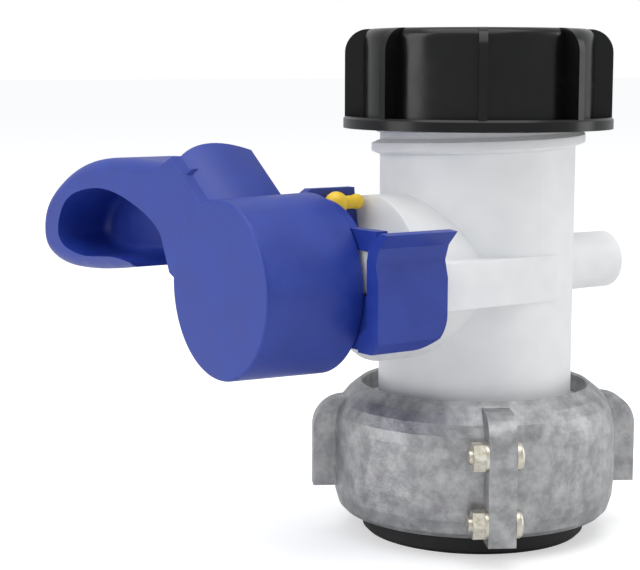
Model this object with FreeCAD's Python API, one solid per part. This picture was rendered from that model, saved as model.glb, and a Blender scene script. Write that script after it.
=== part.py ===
import FreeCAD, Part
import math
import os

# Quarter-turn butterfly valve for a tank outlet.
# +Z runs up the flow tube to the capped outlet, and z = 0 is the underside of
# the inlet seal. The stem lies along Y, with the handle on the -Y side.

Vector = FreeCAD.Vector
UP = Vector(0, 0, 1)
ALONG_STEM = Vector(0, 1, 0)

# Driving dimensions, in millimetres and degrees
seat_radius = 23.8
bore_radius = 24.3
seat_half_height = 13.0
seat_lead = 1.0
tube_radius = 27.2
tube_top = 136.0
stem_height = 74.0

spigot_radius = 28.5
seal_lip = 1.5
inlet_seal_radius = 31.4
inlet_seal_height = 12.0

flange_radius = 35.3
flange_bottom = 30.5
flange_thickness = 6.3
flange_fillet = 1.2

boss_radius = 22.5
boss_face = -37.0
journal_radius = 13.5
journal_end = -66.0
rail_half_height = 6.2
rail_face = 27.5
rail_front = -50.0
rail_back = 6.0
key_height = 10.4
key_front = -55.0
back_stub_radius = 8.3
back_stub_end = 50.0

disc_half_thickness = 3.0
disc_gap = 0.2
seal_section = 2.2
seal_half_width = 2.4
disc_hub_radius = 7.2

stem_radius = 6.0
stem_drive_flats = 8.0
stem_tail_radius = 4.0
stem_tail_end = 45.0
stem_collar_radius = 8.3
stem_collar_thickness = 3.0
stem_head_flats = 10.0
stem_head_end = -79.0
bush_wall = 1.5
bush_length = 9.0
bush_depth = 16.0
o_ring_section = 0.65
o_ring_places = (-34.0, -42.0)
circlip_thickness = 1.0
circlip_depth = 0.8
circlip_opening = 5.0

hub_front = -84.7
hub_rear = -56.3
hub_front_radius = 23.3
hub_rear_radius = 23.9
hub_wall = 3.0
hub_face_thickness = 3.5
hub_edge_round = 0.8
socket_radius = 9.0
stop_radius = 19.0
stop_back = -60.5
stop_front = -64.5
stop_rib_angle = 200.0
stop_rib_half_angle = 7.0
stop_slack_angle = 1.5
open_angle = 90.0

neck_front = -84.2
neck_back = -59.5
neck_slope = 37.0
neck_reach = 24.0
grip_front = -84.2
grip_back = -61.0
grip_back_wall = 6.0

collar_front = -55.8
collar_thickness = 3.5
wing_front = -58.0
wing_back = -36.0
wing_thickness = 5.0
wing_half_height = 15.0
lip_rise = 3.7
tab_inner = -8.0
tab_thickness = 3.0
tab_top = 24.4
seal_pin_radius = 1.25
seal_rise = 20.3
seal_station = -44.2

cap_flange_radius = 37.5
cap_bottom = 113.8
cap_flange_thickness = 3.2
cap_rib_radius = 37.1
cap_core_radius = 32.0
cap_rib_thickness = 2.3
cap_rib_count = 8
cap_rib_round = 6.5
cap_top_thickness = 3.0
cap_liner_thickness = 2.0
cap_rib_angle = -37.7
outlet_thread_radius = 30.0

nut_bottom = 6.2
nut_radius = 39.9
nut_foot_radius = 37.9
nut_thread_radius = 35.9
nut_opening_radius = 31.8
nut_top = 42.4
nut_shoulder_gap = 0.1
seam_angle = -30.0
ear_thickness = 3.7
ear_radius = 47.4
bolt_circle = 44.2
bolt_heights = (12.2, 30.2)
bolt_radius = 2.0
nut_flats = 7.0
nut_height = 3.2
bolt_head_radius = 3.8
bolt_head_height = 2.0
washer_radius = 4.0
washer_thickness = 0.8
lug_radius = 46.0
lug_thickness = 6.0
lug_bottom = 13.0
lug_top = 38.5

# Clearances
running_gap = 0.05
free_gap = 0.3
loose_gap = 0.2

flange_top = flange_bottom + flange_thickness
collar_back = collar_front + collar_thickness
tube_end_cut = 1.0


def export(node, shape):
    shape.exportStep("parts/" + node + ".step")


def upright(radius, low, high):
    return Part.makeCylinder(radius, high - low, Vector(0, 0, low), UP)


def along_stem(radius, y_low, y_high):
    return Part.makeCylinder(radius, y_high - y_low, Vector(0, y_low, stem_height), ALONG_STEM)


def block(x_low, x_high, y_low, y_high, z_low, z_high):
    size = (x_high - x_low, y_high - y_low, z_high - z_low)
    return Part.makeBox(*size, Vector(x_low, y_low, z_low))


def spun_about_z(points):
    """A closed outline of (radius, height) points, turned once about the tube axis."""
    corners = [Vector(r, 0, z) for r, z in points]
    face = Part.Face(Part.makePolygon(corners + corners[:1]))
    return face.revolve(Vector(0, 0, 0), UP, 360)


def spun_about_stem(points):
    """A closed outline of (radius, y) points, turned once about the stem axis."""
    corners = [Vector(r, y, stem_height) for r, y in points]
    face = Part.Face(Part.makePolygon(corners + corners[:1]))
    return face.revolve(Vector(0, 0, stem_height), ALONG_STEM, 360)


def square_along_stem(flats, y_low, y_high):
    half = flats / 2
    return block(-half, half, y_low, y_high, stem_height - half, stem_height + half)


def about_z(shape, degrees):
    turned = shape.copy()
    turned.rotate(Vector(0, 0, 0), UP, degrees)
    return turned


def side_point(x, rise, y=0.0):
    """A point by its distance from the stem axis: x across, rise up, y along."""
    return Vector(x, y, stem_height + rise)


def slab_across_stem(edges, y_low, y_high):
    """A closed wire in the plane y = 0, made solid between two stations on the stem."""
    wire = Part.Wire(Part.__sortEdges__(edges))
    wire.translate(Vector(0, y_low, 0))
    return Part.Face(wire).extrude(Vector(0, y_high - y_low, 0))


def polyline(points):
    return [Part.LineSegment(a, b).toShape() for a, b in zip(points, points[1:])]


def spline(points):
    curve = Part.BSplineCurve()
    curve.interpolate(points)
    return curve.toShape()


def edges_where(shape, test):
    return [edge for edge in shape.Edges if test(edge)]


# Body: tube, inlet spigot and flange, stem boss, side rails and back stub
def valve_body():
    tube = spun_about_z([
        (0, seal_lip),
        (spigot_radius, seal_lip),
        (spigot_radius, flange_bottom),
        (flange_radius, flange_bottom),
        (flange_radius, flange_top - flange_fillet),
        (flange_radius - flange_fillet, flange_top),
        (tube_radius, flange_top),
        (tube_radius, tube_top - tube_end_cut),
        (tube_radius - tube_end_cut, tube_top),
        (0, tube_top),
    ])
    boss = along_stem(boss_radius, boss_face, 0)
    journal = along_stem(journal_radius, journal_end, 0)
    rails = block(-rail_face, rail_face, rail_front, rail_back,
                  stem_height - rail_half_height, stem_height + rail_half_height)
    stub = along_stem(back_stub_radius, 0, back_stub_end)
    stub = stub.makeChamfer(1.0, edges_where(stub, lambda e: e.BoundBox.YMin > back_stub_end - 0.1))
    body = tube.fuse([boss, journal, rails, stub, stop_quadrant(), keys()])

    bush_seat_end = boss_bush_start() - bush_length
    body = body.cut([
        flow_bore(),
        along_stem(stem_radius + running_gap, journal_end, 0),
        along_stem(stem_radius + bush_wall, bush_seat_end, boss_bush_start()),
        along_stem(stem_collar_radius + loose_gap, journal_end, bush_seat_end),
        along_stem(circlip_seat_radius(), *circlip_groove()),
        along_stem(stem_tail_radius + running_gap, 0, stem_tail_end + free_gap),
    ])
    return body.removeSplitter()


def flow_bore():
    """Open bore from end to end, narrowed to a seat where the disc closes."""
    low = stem_height - seat_half_height
    high = stem_height + seat_half_height
    return spun_about_z([
        (0, seal_lip),
        (bore_radius, seal_lip),
        (bore_radius, low - seat_lead),
        (seat_radius, low),
        (seat_radius, high),
        (bore_radius, high + seat_lead),
        (bore_radius, tube_top),
        (0, tube_top),
    ])


def boss_bush_start():
    return journal_end + bush_depth


def stem_collar_span():
    back = boss_bush_start() - bush_length
    return back - stem_collar_thickness - running_gap, back - running_gap


def circlip_groove():
    back = stem_collar_span()[0]
    return back - circlip_thickness - running_gap, back


def circlip_seat_radius():
    return stem_collar_radius + loose_gap + circlip_depth


# Two keys on the rail fronts that fit the notches of the locking collar
def keys():
    key = block(journal_radius + free_gap, rail_face, key_front, rail_front,
                stem_height, stem_height + key_height)
    return key.fuse(key.mirror(Vector(0, 0, 0), Vector(1, 0, 0)))


# Raised quadrant on the journal end, which stops the rib inside the hub
def stop_quadrant():
    free = open_angle + 2 * (stop_rib_half_angle + stop_slack_angle)
    ring = along_stem(stop_radius, stop_front, stop_back)
    first = stop_rib_angle - stop_rib_half_angle - stop_slack_angle
    gap = wedge(first, first + free, stop_radius + 5, stop_front - 1, stop_back + 1)
    return ring.cut(gap)


def wedge(start, end, radius, y_low, y_high):
    """A sector about the stem axis: angles run from +X towards -Z, as the handle opens."""
    sector = Part.makeCylinder(radius, y_high - y_low, Vector(0, 0, 0), UP, end - start)
    sector.rotate(Vector(0, 0, 0), UP, start)
    sector.rotate(Vector(0, 0, 0), Vector(1, 0, 0), -90)
    sector.translate(Vector(0, y_low, stem_height))
    return sector


# Closing disc and its rubber rim, both cut from spheres about the tube centre
def disc_centre():
    return Vector(0, 0, stem_height)


def rim_band(half_width, hub):
    reach = seat_radius + 1
    band = upright(reach, stem_height - half_width, stem_height + half_width)
    return band.fuse(along_stem(hub, -reach, reach))


def valve_disc():
    ball = Part.makeSphere(seat_radius - disc_gap - seal_section, disc_centre())
    disc = ball.common(rim_band(disc_half_thickness, disc_hub_radius))
    return disc.cut(square_along_stem(stem_drive_flats + 2 * running_gap, -seat_radius, seat_radius))


def disc_seal():
    outer = Part.makeSphere(seat_radius - disc_gap, disc_centre())
    inner = Part.makeSphere(seat_radius - disc_gap - seal_section, disc_centre())
    ring = outer.cut(inner).common(rim_band(seal_half_width, disc_hub_radius))
    return ring.cut(along_stem(stem_radius + running_gap, -seat_radius, seat_radius))


# Stem: square head, collar, two O-ring grooves, square drive and round tail
def stem():
    collar_low, collar_high = stem_collar_span()
    drive_end = stem_drive_end()
    parts = [
        square_along_stem(stem_head_flats, stem_head_end, journal_end - 0.5),
        along_stem(stem_radius, journal_end - 0.5, -drive_end),
        along_stem(stem_collar_radius, collar_low, collar_high),
        square_along_stem(stem_drive_flats, -drive_end, drive_end),
        along_stem(stem_tail_radius, drive_end, stem_tail_end),
    ]
    shaft = parts[0].fuse(parts[1:])
    for place in o_ring_places:
        half = o_ring_section + 0.1
        sleeve = along_stem(stem_radius + 1, place - half, place + half)
        shaft = shaft.cut(sleeve.cut(along_stem(o_ring_groove_radius(), place - half, place + half)))
    return shaft.removeSplitter()


def stem_drive_end():
    """How far the square drive reaches before its corners would meet the seat."""
    corner = stem_drive_flats / math.sqrt(2)
    return math.sqrt(seat_radius ** 2 - corner ** 2) - free_gap


def o_ring_groove_radius():
    return stem_radius - 2 * o_ring_section - 0.05


def stem_o_rings():
    centre_radius = o_ring_groove_radius() + o_ring_section + 0.02
    rings = [Part.makeTorus(centre_radius, o_ring_section, Vector(0, place, stem_height), ALONG_STEM)
             for place in o_ring_places]
    return Part.makeCompound(rings)


def stem_bush():
    end = boss_bush_start() - bush_length
    sleeve = along_stem(stem_radius + bush_wall, end, boss_bush_start())
    return sleeve.cut(along_stem(stem_radius + running_gap, end, boss_bush_start()))


def stem_circlip():
    low, high = circlip_groove()
    low = low + running_gap / 2
    high = high - running_gap / 2
    ring = along_stem(circlip_seat_radius() - 0.05, low, high)
    ring = ring.cut(along_stem(stem_radius + 0.6, low, high))
    gap = block(-circlip_opening / 2, circlip_opening / 2, low, high,
                stem_height + stem_radius, stem_height + stem_radius + 10)
    return ring.cut(gap)


# Handle: cup-shaped hub, raised neck block and hollow curved grip, one moulding
def handle():
    hub = spun_about_stem([
        (0, hub_front),
        (hub_front_radius, hub_front),
        (hub_rear_radius, hub_rear),
        (0, hub_rear),
    ])
    rim = edges_where(hub, lambda e: e.BoundBox.YMax < hub_front + 0.1 and e.Length > hub_front_radius)
    hub = hub.makeFillet(hub_edge_round, rim)
    outer = hub.fuse([neck_block(), grip()])

    cavity = along_stem(hub_front_radius - hub_wall, hub_front + hub_face_thickness, hub_rear)
    socket = along_stem(socket_radius, hub_front + hub_face_thickness, journal_end - 1.0)
    rib = wedge(stop_rib_angle - stop_rib_half_angle, stop_rib_angle + stop_rib_half_angle,
                hub_front_radius - hub_wall + 0.5, hub_front + hub_face_thickness, hub_rear - 3.0)
    rib = rib.cut(along_stem(journal_radius + free_gap, hub_front, hub_rear))
    hollow = cavity.cut([socket, rib])
    shell = outer.cut(hollow)
    return shell.cut(square_along_stem(stem_head_flats + 2 * running_gap, stem_head_end - 0.2, hub_rear))


def neck_block():
    """The arched block that rises from the hub, ruled along the neck's slope."""
    slope = math.radians(neck_slope)
    crown = [
        side_point(-neck_reach, 24.0, neck_front),
        side_point(-neck_reach, 29.5, neck_front),
        side_point(-neck_reach, 35.2, -78.0),
        side_point(-neck_reach, 36.3, -71.0),
        side_point(-neck_reach, 34.1, neck_back),
        side_point(-neck_reach, 24.0, neck_back),
    ]
    arch = [spline(crown[1:5])] + polyline([crown[4], crown[5], crown[0], crown[1]])
    face = Part.Face(Part.Wire(Part.__sortEdges__(arch)))
    run = 26.0
    ruled = face.extrude(Vector(math.cos(slope), 0, -math.sin(slope)) * run)
    side = slab_across_stem(polyline([
        side_point(-neck_reach, 33.0),
        side_point(-38.0, 27.0),
        side_point(-26.0, 2.0),
        side_point(-10.0, -5.0),
        side_point(-4.0, 18.0),
        side_point(-neck_reach, 33.0),
    ]), neck_front, neck_back)
    top = along_stem(80.0, neck_front, neck_back)
    return ruled.fuse(side).common(top)


def grip():
    top = [
        side_point(-18.0, 30.0),
        side_point(-38.0, 31.0),
        side_point(-60.0, 31.0),
        side_point(-80.0, 28.0),
        side_point(-95.0, 21.5),
        side_point(-104.5, 12.0),
        side_point(-104.0, 2.8),
        side_point(-95.5, -1.6),
        side_point(-84.0, -2.4),
        side_point(-66.0, -1.2),
        side_point(-48.0, 1.2),
        side_point(-16.0, 4.0),
    ]
    outline = [spline(top), Part.LineSegment(top[-1], top[0]).toShape()]
    body = slab_across_stem(outline, grip_front, grip_back)
    body = body.makeFillet(4.0, edges_where(body, lambda e: e.BoundBox.YMax < grip_front + 0.1 and e.Length > 100))
    body = body.makeFillet(3.5, edges_where(body, lambda e: e.BoundBox.YMin > grip_back - 0.1 and e.Length > 100))

    rim = [
        side_point(-25.0, 5.0),
        side_point(-32.0, 13.0),
        side_point(-46.0, 19.0),
        side_point(-62.0, 22.0),
        side_point(-79.0, 20.5),
        side_point(-91.0, 14.0),
        side_point(-93.0, 6.5),
        side_point(-85.0, 2.6),
        side_point(-72.0, 2.0),
        side_point(-50.0, 2.2),
    ]
    mouth = [spline(rim)] + polyline([rim[-1], side_point(-50.0, -12.0), side_point(-25.0, -12.0), rim[0]])
    hollow = slab_across_stem(mouth, grip_front - 2, grip_back - grip_back_wall)
    hollow = hollow.makeFillet(2.5, edges_where(
        hollow, lambda e: e.BoundBox.YMin > grip_back - grip_back_wall - 0.1 and e.Length > 60))
    return body.cut(hollow)


# Locking collar: a fixed blue plate behind the hub with two finger wings
def lock_collar():
    round_plate = along_stem(boss_radius - 0.2, collar_front, collar_back)
    cross_plate = block(-rail_face - 1, rail_face + 1, collar_front, collar_back,
                        stem_height - wing_half_height, stem_height + wing_half_height + 0.9)
    notch = block(journal_radius, 60, collar_front - 1, collar_back + 1,
                  stem_height - 0.9, stem_height + key_height + 0.3)
    notches = notch.fuse(notch.mirror(Vector(0, 0, 0), Vector(1, 0, 0)))
    plate = round_plate.fuse(cross_plate).cut(notches)
    plate = plate.cut(block(-60, 60, collar_front - 1, collar_back + 1, 0, stem_height - wing_half_height))
    wing = side_wing()
    other = wing.mirror(Vector(0, 0, 0), Vector(1, 0, 0))
    collar = plate.fuse([wing, other, seal_tab()])
    return collar.cut(along_stem(journal_radius + running_gap, wing_front, boss_face)).removeSplitter()


def side_wing():
    inner = rail_face
    outer = rail_face + wing_thickness
    top = wing_half_height
    outline = [
        side_point(inner, 8.5),
        side_point(inner, -8.0),
        side_point(inner - 3.5, -11.5),
        side_point(inner - 3.5, -top),
        side_point(outer - 3.0, -top),
        side_point(outer, -top + 3.0),
        side_point(outer, 3.5),
        side_point(outer - 1.2, 8.0),
        side_point(outer + 0.2, 12.0),
        side_point(outer + lip_rise, top + 0.6),
        side_point(outer + lip_rise - 3.2, top + 0.9),
        side_point(inner + 1.0, 12.5),
        side_point(inner, 8.5),
    ]
    wing = slab_across_stem(polyline(outline), wing_front, wing_back)
    corner = Part.makeCylinder(9.0, 60, Vector(0, wing_back - 9.0, stem_height - top + 9.0), Vector(1, 0, 0))
    square = block(0, 60, wing_back - 9.0, wing_back + 1, stem_height - top - 1, stem_height - top + 9.0)
    return wing.cut(square.cut(corner))


def seal_tab():
    outline = [
        side_point(0, 12.0, collar_front),
        side_point(0, tab_top - 2.0, collar_front),
        side_point(0, tab_top, collar_front + 3.0),
        side_point(0, tab_top, boss_face - 1.6),
        side_point(0, 12.0, boss_face - free_gap),
        side_point(0, 12.0, collar_front),
    ]
    tab = Part.Face(Part.makePolygon(outline)).extrude(Vector(tab_thickness, 0, 0))
    tab.translate(Vector(tab_inner, 0, 0))
    hole = Part.makeCylinder(seal_pin_radius + running_gap, 20,
                             side_point(tab_inner - 10, seal_rise, seal_station), Vector(1, 0, 0))
    return tab.cut(hole)


# Tamper seal: a split head with a barbed pin through the collar's tab
def seal_pin():
    rise = seal_rise
    y = seal_station
    face = tab_inner + tab_thickness
    pin = Part.makeCylinder(seal_pin_radius, tab_thickness + 6.5,
                            side_point(tab_inner - 4.0, rise, y), Vector(1, 0, 0))
    barb = Part.makeCone(0.4, seal_pin_radius, 2.0, side_point(tab_inner - 6.0, rise, y), Vector(1, 0, 0))
    big = Part.makeSphere(3.2, side_point(face + 3.2, rise + 0.2, y - 2.6))
    small = Part.makeSphere(2.1, side_point(face + 2.6, rise + 0.4, y + 4.4))
    neck = Part.makeCylinder(1.8, 7.0, side_point(face + 2.8, rise + 0.2, y - 2.6), Vector(0, 1, 0.03))
    return pin.fuse([barb, big, small, neck])


# Dust cap: threaded cup with a skirt flange and eight grip ribs
def dust_cap():
    top = tube_top + cap_liner_thickness + cap_top_thickness
    rib_base = cap_bottom + cap_flange_thickness
    core = upright(cap_core_radius, cap_bottom, top)
    core = core.makeFillet(2.8, edges_where(core, lambda e: e.BoundBox.ZMin > top - 0.1))
    skirt = upright(cap_flange_radius, cap_bottom, rib_base)
    skirt = skirt.makeChamfer(0.6, edges_where(skirt, lambda e: e.BoundBox.ZMin > rib_base - 0.1))
    reach = cap_rib_radius
    rib = block(cap_core_radius - 6, reach, -cap_rib_thickness / 2, cap_rib_thickness / 2, rib_base - 0.5, top)
    rib = rib.makeFillet(cap_rib_round, edges_where(
        rib, lambda e: e.BoundBox.XMin > reach - 0.1 and e.BoundBox.ZMin > top - 0.1))
    ribs = [about_z(rib, cap_rib_angle + n * 360 / cap_rib_count) for n in range(cap_rib_count)]
    cap = core.fuse([skirt] + ribs)
    bore = upright(outlet_thread_radius + free_gap, cap_bottom, tube_top + cap_liner_thickness)
    return cap.cut(bore).removeSplitter()


def cap_liner():
    return upright(outlet_thread_radius, tube_top, tube_top + cap_liner_thickness)


# Coupling nut: two cast halves round the flange, bolted through paired ears
def nut_profile():
    shoulder = flange_top + nut_shoulder_gap
    return [
        (nut_thread_radius, nut_bottom),
        (nut_foot_radius - 1.0, nut_bottom),
        (nut_foot_radius + 0.4, nut_bottom + 1.4),
        (nut_foot_radius + 1.5, nut_bottom + 5.0),
        (nut_radius, nut_bottom + 10.5),
        (nut_radius, 31.0),
        (nut_radius - 0.5, 34.0),
        (nut_radius - 1.9, 37.0),
        (nut_radius - 4.0, 39.6),
        (nut_radius - 6.2, 41.4),
        (nut_opening_radius + 0.5, nut_top),
        (nut_opening_radius, nut_top - 0.6),
        (nut_opening_radius, shoulder),
        (flange_radius + 0.7, shoulder),
        (flange_radius + 0.7, flange_bottom - 0.5),
        (nut_thread_radius, flange_bottom - 0.5),
    ]


def seam_ear():
    """One pair of ears at the seam, still in one piece, in the plane of +X."""
    half = ear_thickness
    outer = ear_radius
    top = 41.0
    edges = polyline([
        Vector(34.0, -half, top),
        Vector(34.0, -half, nut_bottom + 0.3),
        Vector(outer, -half, nut_bottom + 0.3),
        Vector(outer, -half, top - 9.0),
    ])
    corner = Part.Arc(Vector(outer, -half, top - 9.0),
                      Vector(outer - 2.3, -half, top - 2.6),
                      Vector(outer - 8.0, -half, top)).toShape()
    edges = edges + [corner] + polyline([Vector(outer - 8.0, -half, top), Vector(34.0, -half, top)])
    ear = Part.Face(Part.Wire(Part.__sortEdges__(edges))).extrude(Vector(0, 2 * half, 0))
    for height in bolt_heights:
        hole = Part.makeCylinder(bolt_radius + loose_gap, 2 * half + 2, Vector(bolt_circle, -half - 1, height),
                                 Vector(0, 1, 0))
        ear = ear.cut(hole)
    return ear


def turning_lug():
    half = lug_thickness / 2
    lug = block(34.0, lug_radius, -half, half, lug_bottom, lug_top)
    lug = lug.makeFillet(9.0, edges_where(
        lug, lambda e: e.BoundBox.XMin > lug_radius - 0.1 and e.BoundBox.ZMin > lug_top - 0.1))
    return lug


def whole_nut():
    ring = spun_about_z(nut_profile())
    extras = [seam_ear(), about_z(seam_ear(), 180), about_z(turning_lug(), 90), about_z(turning_lug(), 270)]
    nut = ring.fuse(extras)
    inside = spun_about_z([
        (0, nut_bottom),
        (nut_thread_radius, nut_bottom),
        (nut_thread_radius, flange_bottom - 0.5),
        (flange_radius + 0.7, flange_bottom - 0.5),
        (flange_radius + 0.7, flange_top + nut_shoulder_gap),
        (nut_opening_radius, flange_top + nut_shoulder_gap),
        (nut_opening_radius, nut_top + 1),
        (0, nut_top + 1),
    ])
    return nut.cut(inside)


def nut_half(side):
    """side = -1 is the half on the handle's side of the seam, +1 the other."""
    keep = block(-60, 60, 0, 60, 0, 60)
    if side < 0:
        keep = about_z(keep, 180)
    return about_z(whole_nut().common(keep), seam_angle)


# Fasteners: two bolts, nuts and washers at each seam
def hexagon(flats, height):
    corner = flats / math.sqrt(3)
    points = [Vector(corner * math.cos(math.radians(60 * n)), corner * math.sin(math.radians(60 * n)), 0)
              for n in range(7)]
    return Part.Face(Part.makePolygon(points)).extrude(Vector(0, 0, height))


def across_seam(shape, start, height):
    """Stand a piece made along Z on the seam's bolt line, from start towards +Y."""
    placed = shape.copy()
    placed.rotate(Vector(0, 0, 0), Vector(1, 0, 0), -90)
    placed.translate(Vector(bolt_circle, start, height))
    return placed


def seam_set(make, start, seam):
    pieces = [about_z(across_seam(make(), start, height), seam) for height in bolt_heights]
    return Part.makeCompound(pieces)


def bolt():
    grip_length = 2 * ear_thickness + washer_thickness
    tail = grip_length + nut_height + 1.0
    shank = Part.makeCylinder(bolt_radius, tail, Vector(0, 0, -tail), UP)
    head = Part.makeCylinder(bolt_head_radius, bolt_head_height)
    head = head.makeFillet(1.2, edges_where(head, lambda e: e.BoundBox.ZMin > bolt_head_height - 0.1))
    return shank.fuse(head)


def hex_nut():
    return hexagon(nut_flats, nut_height).cut(Part.makeCylinder(bolt_radius, nut_height))


def washer():
    hole = Part.makeCylinder(bolt_radius + loose_gap, washer_thickness)
    return Part.makeCylinder(washer_radius, washer_thickness).cut(hole)


def inlet_seal():
    outer = inlet_seal_radius
    return spun_about_z([
        (bore_radius, 0),
        (outer - 1.0, 0),
        (outer, 1.0),
        (outer, inlet_seal_height - 0.8),
        (outer - 0.8, inlet_seal_height),
        (spigot_radius, inlet_seal_height),
        (spigot_radius, seal_lip),
        (bore_radius, seal_lip),
    ])


os.makedirs("parts", exist_ok=True)
export("valve_body", valve_body())
export("valve_disc", valve_disc())
export("disc_seal", disc_seal())
export("stem", stem())
export("stem_o_rings", stem_o_rings())
export("stem_bush", stem_bush())
export("stem_circlip", stem_circlip())
export("handle", handle())
export("lock_collar", lock_collar())
export("seal_pin", seal_pin())
export("dust_cap", dust_cap())
export("cap_liner", cap_liner())
export("nut_half_front", nut_half(-1))
export("nut_half_rear", nut_half(1))
export("inlet_seal", inlet_seal())
for name, seam in (("near", seam_angle), ("far", seam_angle + 180)):
    export(name + "_seam_bolts", seam_set(bolt, ear_thickness, seam))
    export(name + "_seam_washers", seam_set(washer, -ear_thickness - washer_thickness, seam))
    export(name + "_seam_nuts", seam_set(hex_nut, -ear_thickness - washer_thickness - nut_height, seam))
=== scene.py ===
import math
import bpy
from mathutils import Matrix, Vector


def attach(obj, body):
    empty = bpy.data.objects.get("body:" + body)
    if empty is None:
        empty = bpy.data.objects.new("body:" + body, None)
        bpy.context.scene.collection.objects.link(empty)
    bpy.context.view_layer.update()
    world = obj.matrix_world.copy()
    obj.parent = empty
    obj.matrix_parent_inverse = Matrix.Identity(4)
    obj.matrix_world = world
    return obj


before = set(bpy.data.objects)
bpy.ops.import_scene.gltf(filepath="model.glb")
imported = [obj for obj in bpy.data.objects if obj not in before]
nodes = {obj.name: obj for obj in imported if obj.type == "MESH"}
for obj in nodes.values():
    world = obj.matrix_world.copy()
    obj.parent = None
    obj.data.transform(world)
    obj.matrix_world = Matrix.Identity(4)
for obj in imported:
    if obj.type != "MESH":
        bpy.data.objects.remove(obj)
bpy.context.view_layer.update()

MM = 0.001


# Camera, floor and light
# The valve stands on its inlet seal on a plain white sweep, seen from the
# handle side and a little above, under one broad lamp overhead and two at
# the sides.
camera_place = Vector((0.3683, -0.3059, 0.1314))
pitch = math.radians(7.416)
heading = math.radians(55.547)
roll = math.radians(0.14)
focal_length = 95.65
sensor_width = 36.0
to_right = Vector((math.cos(heading), math.sin(heading), 0))
to_back = Vector((
    math.sin(heading) * math.cos(pitch),
    -math.cos(heading) * math.cos(pitch),
    math.sin(pitch)))
to_top = to_back.cross(to_right)
tilt = Matrix.Rotation(roll, 3, to_back)
to_right = tilt @ to_right
to_top = tilt @ to_top

lens = bpy.data.cameras.new("camera")
lens.sensor_width = sensor_width
lens.lens = focal_length
lens.clip_start = 0.01
lens.clip_end = 50
camera = bpy.data.objects.new("camera", lens)
bpy.context.scene.collection.objects.link(camera)
camera.matrix_world = Matrix.Translation(camera_place) @ Matrix(
    (to_right, to_top, to_back)).transposed().to_4x4()
bpy.context.scene.camera = camera
bpy.context.scene.view_settings.view_transform = "Standard"


class Amount:
    """A number or colour on its way through a finish."""

    def __init__(self, finish, socket):
        self.finish = finish
        self.socket = socket

    def ease(self, low, high, start=0.0, end=1.0):
        """Carries low..high on to start..end with soft ends."""
        return self.finish.node("ShaderNodeMapRange", {"interpolation_type": "SMOOTHSTEP"},
                                (self, low, high, start, end))


class Finish:
    """A material being made, one node at a time."""

    def __init__(self, name, owner=None):
        self.material = owner or bpy.data.materials.new(name)
        self.material.use_nodes = True
        self.tree = self.material.node_tree
        self.tree.nodes.clear()
        self.place = None

    def node(self, kind, settings=None, inputs=(), output=0):
        """Adds a node: its settings first, then its sockets, by order or by name."""
        made = self.tree.nodes.new(kind)
        for key, value in (settings or {}).items():
            setattr(made, key, value)
        pairs = inputs.items() if isinstance(inputs, dict) else enumerate(inputs)
        for key, value in pairs:
            self.join(value, made.inputs[key])
        return Amount(self, made.outputs[output])

    def join(self, value, socket):
        if value is None:
            return
        if isinstance(value, Amount):
            self.tree.links.new(value.socket, socket)
        elif hasattr(socket.default_value, "__len__") and len(socket.default_value) == 4:
            socket.default_value = (*value, 1)
        else:
            socket.default_value = value

    def at(self):
        """Where a point of the piece is, in metres."""
        if self.place is None:
            self.place = self.node("ShaderNodeTexCoord", output="Object")
        return self.place

    def noise(self, size, detail=3.0, roughness=0.55, stretch=None):
        """Soft noise, with spots about size metres across."""
        place = self.at()
        if stretch:
            place = self.node("ShaderNodeVectorMath", {"operation": "MULTIPLY"}, (place, stretch))
        return self.node("ShaderNodeTexNoise", inputs={
            "Vector": place, "Scale": 1 / size, "Detail": detail, "Roughness": roughness})

    def cells(self, size):
        """Round cells about size metres across, 0 at the middle of each."""
        return self.node("ShaderNodeTexVoronoi", inputs={
            "Vector": self.at(), "Scale": 1 / size})

    def mix(self, share, first, second):
        return self.node("ShaderNodeMix", {"data_type": "RGBA"},
                         {0: share, 6: first, 7: second}, output=2)

    def bump(self, height, depth, strength=1.0, under=None):
        """Relief: height runs from 0 to 1, and depth is in metres."""
        return self.node("ShaderNodeBump", inputs={
            "Strength": strength, "Distance": depth, "Height": height, "Normal": under})

    def surface(self, **sockets):
        """The plastic or metal itself, joined to the output."""
        shader = self.node("ShaderNodeBsdfPrincipled", inputs={
            key.replace("_", " "): value for key, value in sockets.items()})
        self.output(shader)
        return self.material

    def output(self, shader):
        world = isinstance(self.material, bpy.types.World)
        out = self.tree.nodes.new(
            "ShaderNodeOutputWorld" if world else "ShaderNodeOutputMaterial")
        self.tree.links.new(shader.socket, out.inputs["Surface"])


def paint(material, *names):
    for name in names:
        data = nodes[name].data
        data.materials.clear()
        data.materials.append(material)


sky = bpy.data.worlds.new("studio")
bpy.context.scene.world = sky
air = Finish("studio", sky)
rays = air.node("ShaderNodeLightPath", output="Is Camera Ray")
air.output(air.node("ShaderNodeBackground", inputs={
    "Color": air.mix(rays, (0.62, 0.63, 0.64), (1, 1, 1)), "Strength": 1.0}))

cloth = Finish("white_sweep")
seen = cloth.node("ShaderNodeLightPath", output="Is Camera Ray")
matt = cloth.node("ShaderNodeBsdfDiffuse", inputs={"Color": (0.80, 0.80, 0.80)})
glow = cloth.node("ShaderNodeEmission", inputs={
    "Color": cloth.mix(seen, (0, 0, 0), (0.46, 0.46, 0.46)), "Strength": 1.0})
cloth.output(cloth.node("ShaderNodeAddShader", inputs=(matt, glow)))

floor_reach = 12.0
floor_corners = [
    (x * floor_reach, y * floor_reach, 0)
    for x, y in ((-1, -1), (1, -1), (1, 1), (-1, 1))]
sweep = bpy.data.meshes.new("floor")
sweep.from_pydata(floor_corners, [], [(0, 1, 2, 3)])
floor = bpy.data.objects.new("floor", sweep)
bpy.context.scene.collection.objects.link(floor)
sweep.materials.append(cloth.material)


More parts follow.
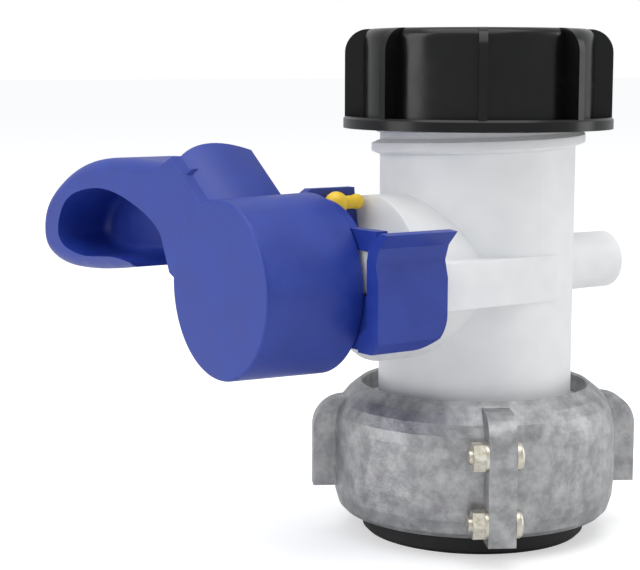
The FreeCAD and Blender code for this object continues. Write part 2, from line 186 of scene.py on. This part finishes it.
middle = Vector((0, 0, 0.08))
level_right = Vector((math.cos(heading), math.sin(heading), 0))
level_near = Vector((math.sin(heading), -math.cos(heading), 0))


def lamp(name, right, near, up, wide, high, power):
    """A rectangle of light, placed from the middle of the valve and aimed at it."""
    light = bpy.data.lights.new(name, "AREA")
    light.shape = "RECTANGLE"
    light.size = wide
    light.size_y = high
    light.energy = power
    stand = bpy.data.objects.new(name, light)
    bpy.context.scene.collection.objects.link(stand)
    arm = right * level_right + near * level_near + Vector((0, 0, up))
    stand.location = middle + arm
    stand.rotation_euler = (-arm).to_track_quat("-Z", "Y").to_euler()


lamp("lamp_overhead", right=-0.1, near=0.2, up=1.2, wide=1.3, high=1.3, power=9)
lamp("lamp_left", right=-1.1, near=0.35, up=0.35, wide=0.5, high=1.2, power=5)
lamp("lamp_right", right=1.1, near=-0.1, up=0.3, wide=0.4, high=1.2, power=3)


# Valve body
# One moulding in white polyethylene: flow tube, stem boss, side rails and
# back stub. The plastic is faintly cloudy and has the soft sheen of a mould.
# The disc, the stem bush and the liner of the cap have the same finish.
hdpe = Finish("white_polyethylene")
cloud = hdpe.noise(size=0.018, detail=2.0)
grain = hdpe.noise(size=0.00035, detail=2.0)
paint(
    hdpe.surface(
        Base_Color=hdpe.mix(cloud.ease(0.3, 0.7), (0.82, 0.83, 0.84), (0.90, 0.90, 0.90)),
        Roughness=cloud.ease(0.2, 0.8, start=0.36, end=0.48),
        Subsurface_Weight=0.35,
        Subsurface_Radius=(0.004, 0.0038, 0.0036),
        Subsurface_Scale=1.0,
        Normal=hdpe.bump(grain, depth=0.00002, strength=0.5)),
    "valve_body", "valve_disc", "stem_bush", "cap_liner")

# Outlet thread
# The coarse thread moulded on the mouth of the tube, under the dust cap. Its
# last turn shows below the cap's skirt.
tube_radius = 27.2 * MM
crest_radius = 30.0 * MM
thread_pitch = 6.0 * MM
thread_start = 107.9 * MM
thread_turns = 3.4
thread_start_angle = math.radians(200)
ridge_foot = 4.6 * MM
ridge_tip = 2.2 * MM
crest_relief = 0.1 * MM
root_sink = 0.4 * MM


def helix(name, root, crest, pitch, low, turns, foot, tip, fade=0.12, steps=96):
    """A ridge of straight flanks wound round the tube axis.

    It fades out over fade turns at both ends and has steps sections to a turn.
    """
    points = []
    faces = []
    corners = 4
    count = int(turns * steps) + 1
    for step in range(count):
        share = step / (count - 1)
        angle = share * turns * math.tau
        height = low + share * turns * pitch
        rise = min(1.0, share * turns / fade, (1 - share) * turns / fade)
        peak = root + (crest - root) * rise
        section = (
            (root - root_sink, -foot / 2),
            (peak, -tip / 2),
            (peak, tip / 2),
            (root - root_sink, foot / 2))
        for radius, lift in section:
            points.append((radius * math.cos(angle), radius * math.sin(angle), height + lift))
    for step in range(count - 1):
        base = step * corners
        above = base + corners
        for corner in range(corners):
            after = (corner + 1) % corners
            faces.append((base + corner, above + corner, above + after, base + after))
    last = (count - 1) * corners
    faces.append(tuple(range(corners)))
    faces.append(tuple(reversed(range(last, last + corners))))
    mesh = bpy.data.meshes.new(name)
    mesh.from_pydata(points, [], faces)
    mesh.update()
    piece = bpy.data.objects.new(name, mesh)
    bpy.context.scene.collection.objects.link(piece)
    return piece


thread = helix("outlet_thread", tube_radius, crest_radius - crest_relief, thread_pitch,
               thread_start, thread_turns, ridge_foot, ridge_tip)
thread.rotation_euler.z = thread_start_angle
thread.data.materials.append(hdpe.material)
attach(thread, "body")

# Rubber seals
# Black rubber: the rim of the disc, the two rings on the stem and the flat
# seal below the coupling nut.
rubber = Finish("black_rubber")
dust = rubber.noise(size=0.004, detail=3.0)
paint(
    rubber.surface(
        Base_Color=rubber.mix(
            dust.ease(0.35, 0.75), (0.010, 0.010, 0.011), (0.022, 0.022, 0.023)),
        Roughness=dust.ease(0.2, 0.8, start=0.55, end=0.75),
        Normal=rubber.bump(rubber.noise(size=0.0006), depth=0.00004, strength=0.6)),
    "disc_seal", "stem_o_rings", "inlet_seal")

# Handle and locking collar
# Two mouldings in royal blue polypropylene with a fine spark-eroded grain.
# The handle's hub covers the stem's head; the collar is clipped to the body.
blue = Finish("blue_polypropylene")
speck = blue.noise(size=0.00028, detail=2.0, roughness=0.6)
scuff = blue.noise(size=0.009, detail=4.0, roughness=0.6)
paint(
    blue.surface(
        Base_Color=blue.mix(scuff.ease(0.3, 0.8), (0.012, 0.036, 0.29), (0.019, 0.050, 0.35)),
        Roughness=scuff.ease(0.25, 0.8, start=0.36, end=0.50),
        Normal=blue.bump(speck, depth=0.00004, strength=0.6)),
    "handle", "lock_collar")

# Tamper seal
# A small split tag in yellow plastic, pushed through the collar's tab.
yellow = Finish("yellow_plastic")
tint = yellow.noise(size=0.002, detail=2.0)
paint(
    yellow.surface(
        Base_Color=yellow.mix(tint, (0.86, 0.52, 0.02), (0.95, 0.68, 0.05)),
        Roughness=tint.ease(0.2, 0.8, start=0.3, end=0.42),
        Normal=yellow.bump(yellow.noise(size=0.0004), depth=0.00003, strength=0.5)),
    "seal_pin")

# Dust cap
# A glossy black screw cap with upright grip ribs and a flange at its foot.
gloss = Finish("black_gloss_plastic")
flow = gloss.noise(size=0.010, detail=3.0)
paint(
    gloss.surface(
        Base_Color=gloss.mix(flow, (0.002, 0.002, 0.0022), (0.004, 0.004, 0.0045)),
        Roughness=flow.ease(0.2, 0.8, start=0.18, end=0.30),
        Specular_IOR_Level=0.35,
        Normal=gloss.bump(gloss.noise(size=0.0016, detail=2.0), depth=0.00002, strength=0.5)),
    "dust_cap")

# Coupling nut
# Two halves die-cast in aluminium alloy and tumbled: a mottled grey skin with
# fine relief and small pits.
cast = Finish("cast_aluminium")
mottle = cast.noise(size=0.005, detail=5.0, roughness=0.65)
skin = cast.noise(size=0.0009, detail=4.0, roughness=0.7)
pits = cast.cells(size=0.0035)
paint(
    cast.surface(
        Base_Color=cast.mix(mottle.ease(0.3, 0.75), (0.30, 0.30, 0.31), (0.56, 0.56, 0.56)),
        Metallic=0.9,
        Roughness=mottle.ease(0.2, 0.8, start=0.34, end=0.52),
        Normal=cast.bump(
            skin, depth=0.00018, strength=0.8,
            under=cast.bump(pits.ease(0.0, 0.35), depth=0.00010, strength=0.5))),
    "nut_half_front", "nut_half_rear")

# Stem and circlip
# Turned stainless steel, hidden inside the boss except for the drive that
# carries the disc across the bore.
steel = Finish("stainless_steel")
turning = steel.noise(size=0.0004, detail=2.0, stretch=(0.05, 1, 0.05))
paint(
    steel.surface(
        Base_Color=steel.mix(turning, (0.52, 0.52, 0.53), (0.62, 0.62, 0.63)),
        Metallic=1.0,
        Roughness=turning.ease(0.2, 0.8, start=0.22, end=0.38),
        Normal=steel.bump(turning, depth=0.00002, strength=0.4)),
    "stem", "stem_circlip")

# Seam bolts, washers and nuts
# Small zinc-plated screws that clamp the two halves of the coupling nut, with
# the faint yellow of a passivated plating.
zinc = Finish("zinc_plate")
bloom = zinc.noise(size=0.0015, detail=3.0)
seams = ("near", "far")
fasteners = ("bolts", "washers", "nuts")
paint(
    zinc.surface(
        Base_Color=zinc.mix(bloom.ease(0.3, 0.7), (0.62, 0.57, 0.44), (0.78, 0.76, 0.70)),
        Metallic=1.0,
        Roughness=bloom.ease(0.2, 0.8, start=0.24, end=0.42),
        Normal=zinc.bump(zinc.noise(size=0.0003), depth=0.00003, strength=0.5)),
    *[f"{seam}_seam_{kind}" for seam in seams for kind in fasteners])
